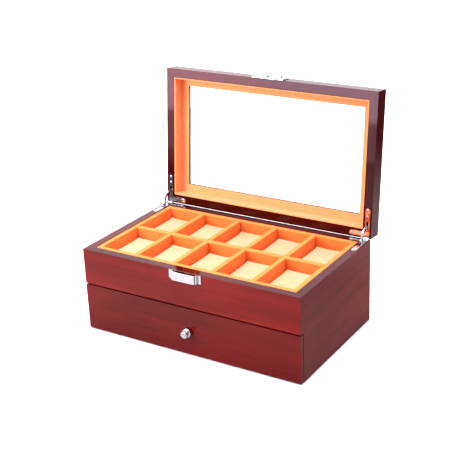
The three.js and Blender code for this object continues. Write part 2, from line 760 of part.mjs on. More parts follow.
// The lid is built shut and turned back about the hinge axis.
const lid = new THREE.Group();
lid.position.set(0, axisY, axisZ);
lid.rotation.x = -openAngle;
const shut = new THREE.Group();
shut.position.set(0, -axisY, -axisZ);
lid.add(shut);
for (const side of Object.keys(SIDES)) {
  shut.add(piece(`lid_rail_${side}`, lidRail(side), mahogany()));
  shut.add(piece(`lid_lining_${side}`, lidLining(side), velvet()));
}
shut.add(piece('lid_glass', lidGlass(), glass()));
shut.add(piece('lid_catch', lidCatch(), chrome()));
shut.add(piece('hinge_lid_leaf_left', leaf(-1, lidBottom, -1, [1]), chrome()));
shut.add(piece('hinge_lid_leaf_right', leaf(1, lidBottom, -1, [1]), chrome()));
box.add(lid);

box.add(piece('drawer_front', drawerFront(), mahogany()));
box.add(piece('drawer_side_left', drawerSide(-1), paleWood()));
box.add(piece('drawer_side_right', drawerSide(1), paleWood()));
box.add(piece('drawer_back', drawerBack(), paleWood()));
box.add(piece('drawer_floor', drawerFloor(), paleWood()));
box.add(piece('drawer_pad', drawerPad(), velvet()));
box.add(piece('drawer_divider_long', drawerLongDivider(), velvet()));
for (let i = 0; i < DRAWER_CROSSES; i += 1) {
  box.add(piece(`drawer_divider_cross_${i + 1}`, drawerCrossDivider(i), velvet()));
}
box.add(piece('drawer_knob', drawerKnob(), chrome()));
box.add(piece('knob_screw', knobScrew(), steel()));

export default box;
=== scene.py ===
import json
import math

import bpy
from mathutils import Matrix, Vector

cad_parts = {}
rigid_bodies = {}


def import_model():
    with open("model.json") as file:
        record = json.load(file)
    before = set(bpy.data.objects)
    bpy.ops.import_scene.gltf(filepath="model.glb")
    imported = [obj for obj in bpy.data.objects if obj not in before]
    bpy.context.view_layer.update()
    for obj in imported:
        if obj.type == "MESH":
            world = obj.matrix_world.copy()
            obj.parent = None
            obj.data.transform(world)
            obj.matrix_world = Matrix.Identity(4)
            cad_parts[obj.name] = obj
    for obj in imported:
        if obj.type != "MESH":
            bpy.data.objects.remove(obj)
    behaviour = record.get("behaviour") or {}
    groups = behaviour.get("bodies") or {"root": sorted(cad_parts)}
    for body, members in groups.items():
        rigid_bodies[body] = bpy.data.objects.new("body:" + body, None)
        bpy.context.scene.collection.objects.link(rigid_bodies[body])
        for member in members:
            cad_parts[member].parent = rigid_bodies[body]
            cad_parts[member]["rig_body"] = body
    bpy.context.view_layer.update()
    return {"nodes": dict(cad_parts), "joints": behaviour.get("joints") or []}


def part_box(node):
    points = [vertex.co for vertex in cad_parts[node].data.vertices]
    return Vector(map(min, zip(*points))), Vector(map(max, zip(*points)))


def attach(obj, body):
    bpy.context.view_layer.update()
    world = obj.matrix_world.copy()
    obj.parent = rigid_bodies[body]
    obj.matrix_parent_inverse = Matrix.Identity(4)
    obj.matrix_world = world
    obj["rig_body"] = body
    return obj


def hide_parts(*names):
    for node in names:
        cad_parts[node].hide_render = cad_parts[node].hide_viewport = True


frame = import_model()

# ---- case walls --------------------------------------------------------------------------
# Four mahogany boards with mitred corners, glued, stained red-brown and lacquered. Their
# edges are eased with abrasive paper before the lacquer, which lies a little darker there.

GLUE_GAP = 0.00014  # between the CAD boards at a glued mitre
MITRE_AREA = 1.5e-5  # no other slanted face is as wide as this
WELD = 2e-6
FLAT = math.radians(0.5)
SMOOTH = math.radians(50)


def alone(piece):
    """Leaves one object selected and active."""
    bpy.ops.object.select_all(action="DESELECT")
    piece.select_set(True)
    bpy.context.view_layer.objects.active = piece


def settle(piece, kind, **settings):
    """Adds a modifier and applies it."""
    alone(piece)
    step = piece.modifiers.new(kind.lower(), kind)
    for label, value in settings.items():
        setattr(step, label, value)
    bpy.ops.object.modifier_apply(modifier=step.name)


def board_copy(node, name):
    """A new object with the node's shape, welded and with its flat faces made whole."""
    piece = bpy.data.objects.new(name, frame["nodes"][node].data.copy())
    bpy.context.scene.collection.objects.link(piece)
    piece.data.materials.clear()
    alone(piece)
    bpy.ops.object.mode_set(mode="EDIT")
    bpy.ops.mesh.select_all(action="SELECT")
    bpy.ops.mesh.customdata_custom_splitnormals_clear()
    bpy.ops.mesh.remove_doubles(threshold=WELD)
    bpy.ops.mesh.dissolve_limited(angle_limit=FLAT)
    bpy.ops.object.mode_set(mode="OBJECT")
    return piece


def is_mitre(face):
    """A glued mitre cuts a board across at 45 degrees to X, and is wider than any small facet."""
    return abs(abs(face.normal.x) - math.sqrt(0.5)) < 0.02 and face.area > MITRE_AREA


def close_mitres(piece):
    """Lets the mitred ends of a board meet their neighbours, as glue and lacquer do."""
    runs_across = piece.dimensions.x > 0.1
    shifts = {}
    for face in filter(is_mitre, piece.data.polygons):
        normal = face.normal
        along = Vector((normal.x, 0, 0)) if runs_across else Vector((0, normal.y, normal.z))
        for index in face.vertices:
            shifts[index] = along.normalized() * GLUE_GAP
    for index, shift in shifts.items():
        piece.data.vertices[index].co += shift


def is_hollow(face, other):
    """Two faces meet in an inside corner when the middle of one stands proud of the other."""
    return (other.center - face.center).dot(face.normal) > 1e-7


def mark_arrises(piece, angle, hollows):
    """Marks each edge sharper than angle for the bevel, except round a glued mitre. Inside
    corners are marked too when hollows is true."""
    around = {}
    for face in piece.data.polygons:
        for key in face.edge_keys:
            around.setdefault(key, []).append(face)
    weights = piece.data.attributes.new("bevel_weight_edge", "FLOAT", "EDGE")
    for edge, weight in zip(piece.data.edges, weights.data):
        faces = around[edge.key]
        sharp = faces[0].normal.angle(faces[-1].normal) > math.radians(angle)
        crisp = any(map(is_mitre, faces)) or not hollows and is_hollow(faces[0], faces[-1])
        weight.value = 1.0 if sharp and not crisp else 0.0


def eased(node, name, width, finishes, segments=3, angle=30, hollows=True):
    """The node's shape with rounded edges, on the node's own body and in its place."""
    piece = board_copy(node, name)
    for finish in finishes:
        piece.data.materials.append(finish)
    close_mitres(piece)
    mark_arrises(piece, angle, hollows)
    settle(
        piece,
        "BEVEL",
        width=width,
        segments=segments,
        limit_method="WEIGHT",
        material=1 if len(finishes) > 1 else -1,
    )
    bpy.ops.object.shade_smooth_by_angle(angle=SMOOTH)
    settle(piece, "WEIGHTED_NORMAL", keep_sharp=True, weight=90)
    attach(piece, frame["nodes"][node]["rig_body"])
    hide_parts(node)
    return piece


def new_group(name, inputs, outputs):
    """A shader node group with its named sockets, and its two end nodes."""
    group = bpy.data.node_groups.new(name, "ShaderNodeTree")
    for label, kind, value in inputs:
        socket = group.interface.new_socket(label, in_out="INPUT", socket_type="NodeSocket" + kind)
        if value is not None:
            socket.default_value = value
    for label, kind in outputs:
        group.interface.new_socket(label, in_out="OUTPUT", socket_type="NodeSocket" + kind)
    return group, group.nodes.new("NodeGroupInput"), group.nodes.new("NodeGroupOutput")


def stretched_noise(tree, vector, scale, detail=3.0, roughness=0.55, distortion=0.0):
    """Noise over coordinates stretched by scale, as an output socket from 0 to 1."""
    mapping = tree.nodes.new("ShaderNodeMapping")
    mapping.inputs["Scale"].default_value = scale
    noise = tree.nodes.new("ShaderNodeTexNoise")
    noise.inputs["Scale"].default_value = 1.0
    noise.inputs["Detail"].default_value = detail
    noise.inputs["Roughness"].default_value = roughness
    noise.inputs["Distortion"].default_value = distortion
    tree.links.new(vector, mapping.inputs["Vector"])
    tree.links.new(mapping.outputs["Vector"], noise.inputs["Vector"])
    return noise.outputs[0]


def spread(tree, value, low, high, to_low=0.0, to_high=1.0):
    """Value between low and high, moved to the range to_low..to_high and held inside it."""
    reach = tree.nodes.new("ShaderNodeMapRange")
    reach.inputs["From Min"].default_value = low
    reach.inputs["From Max"].default_value = high
    reach.inputs["To Min"].default_value = to_low
    reach.inputs["To Max"].default_value = to_high
    tree.links.new(value, reach.inputs["Value"])
    return reach.outputs["Result"]


def blend_colour(tree, factor, first, second, mode="MIX"):
    """Mixes two colours. Each may be a socket or a plain colour, and so may the factor."""
    mix = tree.nodes.new("ShaderNodeMix")
    mix.data_type = "RGBA"
    mix.blend_type = mode
    for index, value in ((0, factor), (6, first), (7, second)):
        if isinstance(value, bpy.types.NodeSocket):
            tree.links.new(value, mix.inputs[index])
        else:
            mix.inputs[index].default_value = value
    return mix.outputs[2]


def arithmetic(tree, operation, first, second):
    """One sum on two values. Each may be a socket or a number."""
    step = tree.nodes.new("ShaderNodeMath")
    step.operation = operation
    for index, value in ((0, first), (1, second)):
        if isinstance(value, bpy.types.NodeSocket):
            tree.links.new(value, step.inputs[index])
        else:
            step.inputs[index].default_value = value
    return step.outputs[0]


grain, ends_in, ends_out = new_group(
    "mahogany_grain",
    [
        ("Vector", "Vector", None),
        ("Dark", "Color", (0.1, 0.01, 0.01, 1)),
        ("Light", "Color", (0.3, 0.03, 0.03, 1)),
        ("Pores", "Float", 0.5),
    ],
    [("Color", "Color"), ("Height", "Float")],
)
along = ends_in.outputs["Vector"]
streaks = stretched_noise(grain, along, (7, 150, 150), detail=5, roughness=0.62, distortion=0.5)
ribbons = stretched_noise(grain, along, (2.6, 26, 26), detail=3, distortion=0.9)
clouds = stretched_noise(grain, along, (3.4, 8, 8), detail=1)
threads = stretched_noise(grain, along, (26, 1100, 1100), detail=2)
streak_share = spread(grain, streaks, 0.32, 0.7)
ribbon_share = spread(grain, ribbons, 0.35, 0.66)
cloud_share = spread(grain, clouds, 0.36, 0.64)
figure = arithmetic(grain, "MULTIPLY", streak_share, 0.34)
figure = arithmetic(grain, "ADD", figure, arithmetic(grain, "MULTIPLY", ribbon_share, 0.26))
figure = arithmetic(grain, "ADD", figure, arithmetic(grain, "MULTIPLY", cloud_share, 0.4))
tone = blend_colour(grain, figure, ends_in.outputs["Dark"], ends_in.outputs["Light"])
pore_mask = spread(grain, threads, 0.6, 0.72)
pore_depth = arithmetic(grain, "MULTIPLY", pore_mask, ends_in.outputs["Pores"])
shaded = blend_colour(grain, pore_depth, tone, ends_in.outputs["Dark"])
grain.links.new(shaded, ends_out.inputs["Color"])
grain.links.new(arithmetic(grain, "SUBTRACT", 1.0, pore_mask), ends_out.inputs["Height"])


PORE_DEPTH = 0.00008


def grained(name, turn, dark, light, pores, bump, **shine):
    """A wood finish. turn brings the direction of the grain onto X."""
    finish = bpy.data.materials.new(name)
    finish.use_nodes = True
    tree = finish.node_tree
    shader = tree.nodes["Principled BSDF"]
    place = tree.nodes.new("ShaderNodeTexCoord")
    mapping = tree.nodes.new("ShaderNodeMapping")
    mapping.inputs["Rotation"].default_value = turn
    wood = tree.nodes.new("ShaderNodeGroup")
    wood.node_tree = grain
    wood.inputs["Dark"].default_value = (*dark, 1)
    wood.inputs["Light"].default_value = (*light, 1)
    wood.inputs["Pores"].default_value = pores
    relief = tree.nodes.new("ShaderNodeBump")
    relief.inputs["Strength"].default_value = bump
    relief.inputs["Distance"].default_value = PORE_DEPTH
    tree.links.new(place.outputs["Object"], mapping.inputs["Vector"])
    tree.links.new(mapping.outputs["Vector"], wood.inputs["Vector"])
    tree.links.new(wood.outputs["Color"], shader.inputs["Base Color"])
    tree.links.new(wood.outputs["Height"], relief.inputs["Height"])
    tree.links.new(relief.outputs["Normal"], shader.inputs["Normal"])
    for label, value in shine.items():
        shader.inputs[label.replace("_", " ")].default_value = value
    return finish


lacquer = {
    "Roughness": 0.5,
    "Specular_IOR_Level": 0.0,
    "Coat_Weight": 1.0,
    "Coat_Roughness": 0.06,
    "Coat_IOR": 1.38,
}
stain_dark = (0.1, 0.0046, 0.0044)
stain_light = (0.27, 0.014, 0.0117)
deep_dark = (0.034, 0.002, 0.0016)
deep_light = (0.1, 0.005, 0.004)
along_x = (0, 0, 0)
along_y = (0, 0, math.radians(-90))
mahogany_x = grained("mahogany_long", along_x, stain_dark, stain_light, 0.45, 0.12, **lacquer)
mahogany_y = grained("mahogany_side", along_y, stain_dark, stain_light, 0.45, 0.12, **lacquer)
deep_x = grained("deep_mahogany_long", along_x, deep_dark, deep_light, 0.3, 0.08, **lacquer)
deep_y = grained("deep_mahogany_side", along_y, deep_dark, deep_light, 0.3, 0.08, **lacquer)
ARRIS = 0.0005
MEETING_ARRIS = 0.00015  # crisp where the back of the case and of the lid meet
rim_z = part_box("case_front_rail")[1].z


def case_board(node, face, deep, arris=ARRIS):
    """A wall of the case. Its rim has the deeper stain of its eased edges."""
    board = eased(node, f"{node}_lacquered", arris, (face, deep))
    for polygon in board.data.polygons:
        if polygon.center.z > rim_z - 2 * ARRIS:
            polygon.material_index = 1


for side in ("left", "right"):
    case_board(f"case_side_{side}", mahogany_y, deep_y)
case_board("case_front_rail", mahogany_x, deep_x)
case_board("case_back", mahogany_x, deep_x, arris=MEETING_ARRIS)

# ---- boards inside the case --------------------------------------------------------------
# The base board and the deck under the tray are thin plain boards, stained like the case
# but only rubbed with a thin satin finish. They are glued between the walls.
satin = {"Roughness": 0.5, "Specular_IOR_Level": 0.4}
plain_dark = (0.12, 0.03, 0.016)
plain_light = (0.27, 0.085, 0.045)
plain_x = grained("plain_board_long", along_x, plain_dark, plain_light, 0.6, 0.5, **satin)
plain_y = grained("plain_board_side", along_y, plain_dark, plain_light, 0.6, 0.5, **satin)
for node in ("case_base", "case_deck"):
    eased(node, f"{node}_board", 0.0004, (plain_x,), segments=2)

# ---- base felt ---------------------------------------------------------------------------
# A sheet of dark brown pressed felt, cut to size and glued under the base board so that the
# box does not scratch the table.


def fibres_group():
    """Fine fibres lying every way: a value for the colour and a height for the surface."""
    group, start, end = new_group(
        "pressed_fibres",
        [("Vector", "Vector", None), ("Dark", "Color", None), ("Light", "Color", None)],
        [("Color", "Color"), ("Height", "Float")],
    )
    vector = start.outputs["Vector"]
    one_way = stretched_noise(group, vector, (900, 2600, 1500), detail=3, distortion=1.2)
    other_way = stretched_noise(group, vector, (2600, 900, 1500), detail=3, distortion=1.2)
    mats = arithmetic(group, "MAXIMUM", one_way, other_way)
    blotches = stretched_noise(group, vector, (40, 40, 40), detail=2)
    thickness = spread(group, blotches, 0.2, 0.7, 0.6, 1)
    share = arithmetic(group, "MULTIPLY", spread(group, mats, 0.4, 0.75), thickness)
    tone = blend_colour(group, share, start.outputs["Dark"], start.outputs["Light"])
    group.links.new(tone, end.inputs["Color"])
    group.links.new(mats, end.inputs["Height"])
    return group


fibres = fibres_group()
felt = bpy.data.materials.new("brown_felt")
felt.use_nodes = True
felt_tree = felt.node_tree
felt_shader = felt_tree.nodes["Principled BSDF"]
felt_shader.inputs["Roughness"].default_value = 0.95
felt_shader.inputs["Sheen Weight"].default_value = 0.35
felt_place = felt_tree.nodes.new("ShaderNodeTexCoord")
felt_fibres = felt_tree.nodes.new("ShaderNodeGroup")
felt_fibres.node_tree = fibres
felt_fibres.inputs["Dark"].default_value = (0.012, 0.006, 0.005, 1)
felt_fibres.inputs["Light"].default_value = (0.05, 0.026, 0.02, 1)
felt_relief = felt_tree.nodes.new("ShaderNodeBump")
felt_relief.inputs["Distance"].default_value = 0.0003
felt_tree.links.new(felt_place.outputs["Object"], felt_fibres.inputs["Vector"])
felt_tree.links.new(felt_fibres.outputs["Color"], felt_shader.inputs["Base Color"])
felt_tree.links.new(felt_fibres.outputs["Height"], felt_relief.inputs["Height"])
felt_tree.links.new(felt_relief.outputs["Normal"], felt_shader.inputs["Normal"])
eased("base_felt", "base_felt_sheet", 0.0003, (felt,), segments=2)

# ---- tray --------------------------------------------------------------------------------
# Thin boards wrapped in apricot velvet: a floor, four liners round the walls, one long
# divider and four cross dividers halved over it. The cloth is turned over the top edges.


def nap_group():
    """Velvet pile: a colour that shifts where the nap leans, and a height for the pile."""
    group, start, end = new_group(
        "velvet_nap",
        [
            ("Vector", "Vector", None),
            ("Deep", "Color", None),
            ("Raised", "Color", None),
            ("Brushed", "Float", 1.0),
        ],
        [("Color", "Color"), ("Height", "Float"), ("Roughness", "Float")],
    )
    vector = start.outputs["Vector"]
    pile = stretched_noise(group, vector, (1700, 1700, 1700), detail=2, roughness=0.7)
    tufts = stretched_noise(group, vector, (420, 420, 420), detail=3, roughness=0.6)
    strokes = stretched_noise(group, vector, (34, 34, 34), detail=2, distortion=0.8)
    lean = spread(group, strokes, 0.35, 0.65)
    lean = arithmetic(group, "MULTIPLY", lean, start.outputs["Brushed"])
    depth = arithmetic(group, "MULTIPLY", spread(group, pile, 0.3, 0.7), 0.45)
    tuft_share = arithmetic(group, "MULTIPLY", spread(group, tufts, 0.3, 0.7), 0.3)
    depth = arithmetic(group, "ADD", depth, tuft_share)
    depth = arithmetic(group, "ADD", depth, arithmetic(group, "MULTIPLY", lean, 0.25))
    tone = blend_colour(group, depth, start.outputs["Deep"], start.outputs["Raised"])
    height = arithmetic(group, "ADD", arithmetic(group, "MULTIPLY", pile, 0.5), tufts)
    group.links.new(tone, end.inputs["Color"])
    group.links.new(height, end.inputs["Height"])
    group.links.new(spread(group, depth, 0, 1, 0.98, 0.8), end.inputs["Roughness"])
    return group


nap = nap_group()


def velvet(name, deep, raised, brushed, bump, sheen):
    """A velvet finish from the two colours of its pile."""
    finish = bpy.data.materials.new(name)
    finish.use_nodes = True
    tree = finish.node_tree
    shader = tree.nodes["Principled BSDF"]
    place = tree.nodes.new("ShaderNodeTexCoord")
    cloth = tree.nodes.new("ShaderNodeGroup")
    cloth.node_tree = nap
    cloth.inputs["Deep"].default_value = (*deep, 1)
    cloth.inputs["Raised"].default_value = (*raised, 1)
    cloth.inputs["Brushed"].default_value = brushed
    relief = tree.nodes.new("ShaderNodeBump")
    relief.inputs["Strength"].default_value = bump
    relief.inputs["Distance"].default_value = 0.0004
    tree.links.new(place.outputs["Object"], cloth.inputs["Vector"])
    tree.links.new(cloth.outputs["Color"], shader.inputs["Base Color"])
    tree.links.new(cloth.outputs["Roughness"], shader.inputs["Roughness"])
    tree.links.new(cloth.outputs["Height"], relief.inputs["Height"])
    tree.links.new(relief.outputs["Normal"], shader.inputs["Normal"])
    shader.inputs["Specular IOR Level"].default_value = 0.15
    shader.inputs["Sheen Weight"].default_value = sheen
    shader.inputs["Sheen Roughness"].default_value = 0.45
    shader.inputs["Sheen Tint"].default_value = (1.0, 0.88, 0.78, 1)
    return finish


# This copy of the velvet is deeper and has little sheen: painted shade for the cells and
# compartments, which stand out of the light. The pillows and the lid lining have paler copies of
# the same cloth.
apricot = velvet("apricot_velvet", (0.72, 0.18, 0.038), (0.88, 0.32, 0.1), 0.7, 0.5, 0.08)
TURNED_EDGE = 0.0013
eased("tray_floor", "tray_floor_cloth", 0.0005, (apricot,), segments=2)
tray_boards = [f"tray_liner_{side}" for side in ("front", "right", "back", "left")]
tray_boards += ["tray_divider_long"] + [f"tray_divider_cross_{i}" for i in range(1, 5)]
for node in tray_boards:
    eased(node, f"{node}_cloth", TURNED_EDGE, (apricot,), segments=4)

# ---- pillows -----------------------------------------------------------------------------
# Ten sewn pillows of the same velvet over soft foam, one to a cell. Each is a boxed bag with
# a seam round it a little way in from either end, pressed flat below by its own cell.
BIG = 20  # the cloth settles better on a bag drawn this many times its size
SLACK = Vector((0.002, 0.002, 0.003))  # the bag before it swells is smaller by this
SWELL = Vector((0.0012, 0.0014, 0.0024))  # the most that any point may move
FRAMES = 20
CROWN = 0.0006
SEAM_IN = 0.0054
SEAM_WIDTH = 0.0007
SEAM_DEPTH = 0.0007
WRINKLE = 0.00028


def sewn_bag():
    """One pillow about the origin, resting on z = 0."""
    low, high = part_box("pillow_front_1")
    size = high - low
    bpy.ops.object.select_all(action="DESELECT")
    bpy.ops.mesh.primitive_cube_add(size=1)
    bag = bpy.context.object
    bag.name = "sewn_bag"
    bpy.ops.object.mode_set(mode="EDIT")
    bpy.ops.mesh.select_all(action="SELECT")
    bpy.ops.mesh.subdivide(number_cuts=23)
    start = BIG * (size - SLACK)
    bpy.ops.transform.resize(value=tuple(start))
    bpy.ops.object.mode_set(mode="OBJECT")
    settle(
        bag,
        "BEVEL",
        width=BIG * 0.0012,
        segments=2,
        limit_method="ANGLE",
        angle_limit=math.radians(60),
    )
    before = [v.co.copy() for v in bag.data.vertices]
    alone(bag)
    cloth = bag.modifiers.new("cloth", "CLOTH")
    cloth.settings.quality = 6
    cloth.settings.mass = 0.3
    cloth.settings.tension_stiffness = 25
    cloth.settings.compression_stiffness = 25
    cloth.settings.bending_stiffness = 2.0
    cloth.settings.use_pressure = True
    cloth.settings.uniform_pressure_force = 5
    cloth.settings.effector_weights.gravity = 0
    cloth.point_cache.frame_start = 1
    cloth.point_cache.frame_end = 24
    for count in range(1, FRAMES + 1):
        bpy.context.scene.frame_set(count)
    bpy.ops.object.modifier_apply(modifier=cloth.name)
    bpy.context.scene.frame_set(1)
    reach = BIG * SWELL
    for vertex, old in zip(bag.data.vertices, before):
        step = vertex.co - old
        for axis in range(3):
            step[axis] = max(-reach[axis], min(reach[axis], step[axis]))
        vertex.co = old + step
    bag.data.transform(Matrix.Scale(1 / BIG, 4))
    settle(bag, "SUBSURF", levels=1, render_levels=1)
    half = size / 2
    for vertex in bag.data.vertices:
        place = vertex.co
        seam = abs(abs(place.x) - (half.x - SEAM_IN))
        pinch = math.exp(-((seam / SEAM_WIDTH) ** 2))
        toward = Vector((0, -place.y / half.y * 0.6, -1 if place.z > 0 else 0.4))
        place += toward * pinch * SEAM_DEPTH
        place.x = max(-half.x, min(half.x, place.x))
        place.y = max(-half.y, min(half.y, place.y))
        place.z = max(-half.z, min(half.z + CROWN, place.z)) + half.z
    alone(bag)
    bpy.ops.object.shade_smooth()
    return bag


# The same velvet as the tray, made paler and given more sheen: painted light on the pillow tops,
# which face the light from above.
lit_pillow_velvet = velvet("pillow_velvet", (0.84, 0.3, 0.155), (0.95, 0.44, 0.27), 1.0, 0.5, 0.26)
bag = sewn_bag()
for row in ("front", "back"):
    for column in range(1, 6):
        node = f"pillow_{row}_{column}"
        low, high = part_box(node)
        pillow = bpy.data.objects.new(f"{node}_sewn", bag.data.copy())
        bpy.context.scene.collection.objects.link(pillow)
        pillow.data.materials.append(lit_pillow_velvet)
        phase = column * 1.7 + (2.6 if row == "back" else 0)
        turn = math.pi if (column + (row == "back")) % 2 else 0
        pillow.data.transform(Matrix.Rotation(turn, 4, "Z"))
        for vertex in pillow.data.vertices:
            share = vertex.co.z / (high.z - low.z)
            wave = math.sin(95 * vertex.co.x + phase) + math.sin(70 * vertex.co.y - 2 * phase)
            vertex.co.z += WRINKLE * share * wave
        middle = Vector(((low.x + high.x) / 2, (low.y + high.y) / 2, low.z))
        pillow.data.transform(Matrix.Translation(middle))
        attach(pillow, node)
        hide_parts(node)
bpy.data.objects.remove(bag)

# ---- hinges ------------------------------------------------------------------------------
# Each hinge has two L-shaped leaves of chromed steel let in flush with the rims, a steel pin
# at the back of the box, and screws with low domed heads and a cross recess.


def polish_group():
    """Handling marks on polished metal: a roughness that varies a little, and a tone."""
    group, start, end = new_group(
        "polish_marks",
        [
            ("Vector", "Vector", None),
            ("Bright", "Color", None),
            ("Dull", "Color", None),
            ("Base", "Float", 0.06),
        ],
        [("Color", "Color"), ("Roughness", "Float")],
    )
    vector = start.outputs["Vector"]
    smears = stretched_noise(group, vector, (130, 130, 130), detail=3, distortion=0.7)
    hairlines = stretched_noise(group, vector, (60, 2600, 2600), detail=2)
    fine = spread(group, hairlines, 0.4, 0.8, 0.3, 1)
    marks = arithmetic(group, "MULTIPLY", spread(group, smears, 0.4, 0.75), fine)
    tone = blend_colour(group, marks, start.outputs["Bright"], start.outputs["Dull"])
    group.links.new(tone, end.inputs["Color"])
    rough = arithmetic(group, "MULTIPLY", marks, 0.12)
    rough = arithmetic(group, "ADD", rough, start.outputs["Base"])
    group.links.new(rough, end.inputs["Roughness"])
    return group


polish = polish_group()


def metal(name, bright, dull, rough):
    """A bare or plated metal finish."""
    finish = bpy.data.materials.new(name)
    finish.use_nodes = True
    tree = finish.node_tree
    shader = tree.nodes["Principled BSDF"]
    place = tree.nodes.new("ShaderNodeTexCoord")
    marks = tree.nodes.new("ShaderNodeGroup")
    marks.node_tree = polish
    marks.inputs["Bright"].default_value = (*bright, 1)
    marks.inputs["Dull"].default_value = (*dull, 1)
    marks.inputs["Base"].default_value = rough
    tree.links.new(place.outputs["Object"], marks.inputs["Vector"])
    tree.links.new(marks.outputs["Color"], shader.inputs["Base Color"])
    tree.links.new(marks.outputs["Roughness"], shader.inputs["Roughness"])
    shader.inputs["Metallic"].default_value = 1.0
    return finish


chrome = metal("bright_chrome", (0.62, 0.6, 0.62), (0.46, 0.45, 0.47), 0.05)
steel = metal("plain_steel", (0.5, 0.5, 0.52), (0.36, 0.36, 0.38), 0.22)
HEAD = 0.0017  # radius of a screw head
HEAD_DEPTH = 0.0008
RECESS_LENGTH = 0.0021
RECESS_WIDTH = 0.00042
RECESS_DEPTH = 0.00015
hinge = next(j for j in frame["joints"] if j["name"] == "lid_hinge")
hinge_at = Vector(hinge["pos_m"])
lid_swing = math.radians(hinge["range_deg"][0])
lid_turn = Matrix.Rotation(lid_swing, 4, "X")
opened = Matrix.Translation(hinge_at) @ lid_turn @ Matrix.Translation(-hinge_at)


def screw_head():
    """A low screw head about the origin with its top towards +Z and a cross recess."""
    middle = (0, 0, -HEAD_DEPTH / 2)
    bpy.ops.object.select_all(action="DESELECT")
    bpy.ops.mesh.primitive_cylinder_add(vertices=24, radius=HEAD, depth=HEAD_DEPTH, location=middle)
    head = bpy.context.object
    bpy.ops.object.mode_set(mode="EDIT")
    bpy.ops.mesh.select_all(action="DESELECT")
    bpy.ops.object.mode_set(mode="OBJECT")
    for face in head.data.polygons:
        face.select = face.normal.z > 0.9
    bpy.ops.object.mode_set(mode="EDIT")
    for inward, up in ((0.0003, 0.00006), (0.0004, 0.00004), (0.0004, 0.00002)):
        bpy.ops.mesh.inset(thickness=inward)
        bpy.ops.transform.translate(value=(0, 0, up))
    bpy.ops.object.mode_set(mode="OBJECT")
    blade_high = 0.0009
    blade_middle = (0, 0, blade_high / 2 - RECESS_DEPTH)
    for long, wide in ((RECESS_LENGTH, RECESS_WIDTH), (RECESS_WIDTH, RECESS_LENGTH)):
        bpy.ops.object.select_all(action="DESELECT")
        bpy.ops.mesh.primitive_cube_add(size=1, location=blade_middle)
        blade = bpy.context.object
        bpy.ops.object.mode_set(mode="EDIT")
        bpy.ops.mesh.select_all(action="SELECT")
        bpy.ops.transform.resize(value=(long, wide, blade_high), center_override=blade_middle)
        bpy.ops.object.mode_set(mode="OBJECT")
        bpy.ops.object.transform_apply(location=True, rotation=False, scale=False)
        bpy.ops.object.select_all(action="DESELECT")
        settle(head, "BOOLEAN", operation="DIFFERENCE", object=blade, solver="EXACT")
        bpy.data.objects.remove(blade)
    alone(head)
    bpy.ops.object.transform_apply(location=True, rotation=False, scale=False)
    bpy.ops.object.shade_smooth_by_angle(angle=math.radians(35))
    head.data.materials.append(chrome)
    return head


head = screw_head()


def drive_screw(name, place, body):
    """A copy of the screw head, moved by the matrix place."""
    screw = bpy.data.objects.new(name, head.data.copy())
    bpy.context.scene.collection.objects.link(screw)
    screw.data.transform(place)
    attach(screw, body)
    return screw


lid_rim_z = 2 * hinge_at.z - rim_z
LEG = 0.0075  # width of the legs of a leaf
SIDE_LEG = 0.042  # from the front end of a leaf to its back edge
SECOND_SCREW = 0.0125  # from the front end
LEAF_EDGE = 0.00018
STAY_EDGE = 0.00035
PIN_EDGE = 0.0002
for side, hand in (("left", -1), ("right", 1)):
    for leaf in (f"hinge_case_leaf_{side}", f"hinge_lid_leaf_{side}"):
        eased(leaf, f"{leaf}_plate", LEAF_EDGE, (chrome,), segments=2)
    stay, pin = f"lid_stay_{side}", f"hinge_pin_{side}"
    eased(stay, f"{stay}_arm", STAY_EDGE, (chrome,), segments=2)
    eased(pin, f"{pin}_rod", PIN_EDGE, (steel,), segments=2, angle=60)
    low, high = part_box(f"hinge_case_leaf_{side}")
    outer, inner = (low.x, high.x) if hand < 0 else (high.x, low.x)
    leg_x = outer - hand * LEG / 2
    leg_y = low.y + SIDE_LEG - LEG / 2
    back_end = (inner + hand * LEG / 2, leg_y)
    sites = [(leg_x, low.y + LEG / 2), (leg_x, low.y + SECOND_SCREW), back_end]
    for count, (x, y) in enumerate(sites, 1):
        spin = Matrix.Rotation(0.5 + 1.3 * count, 4, "Z")
        up = Matrix.Translation((x, y, rim_z)) @ spin
        over = Matrix.Rotation(math.pi, 4, "X") @ spin
        down = opened @ Matrix.Translation((x, y, lid_rim_z)) @ over
        drive_screw(f"hinge_case_screw_{side}_{count}", up, "case")
        drive_screw(f"hinge_lid_screw_{side}_{count}", down, "lid")

# ---- catch on the case -------------------------------------------------------------------
# A pressed and chromed plate with a broad push button in front. The button rides on a stem
# in a coil spring, sunk in a hole in the front rail, and a nib on it holds the lid's tongue.
HOUSING_EDGE = 0.0003
BUTTON_EDGE = 0.0007
WIRE_EDGE = 0.00002
eased("latch_housing", "latch_housing_plate", HOUSING_EDGE, (chrome,), hollows=False)
eased("latch_button", "latch_button_bar", BUTTON_EDGE, (chrome,))
eased("latch_spring", "latch_spring_wire", WIRE_EDGE, (steel,), segments=1, angle=80)

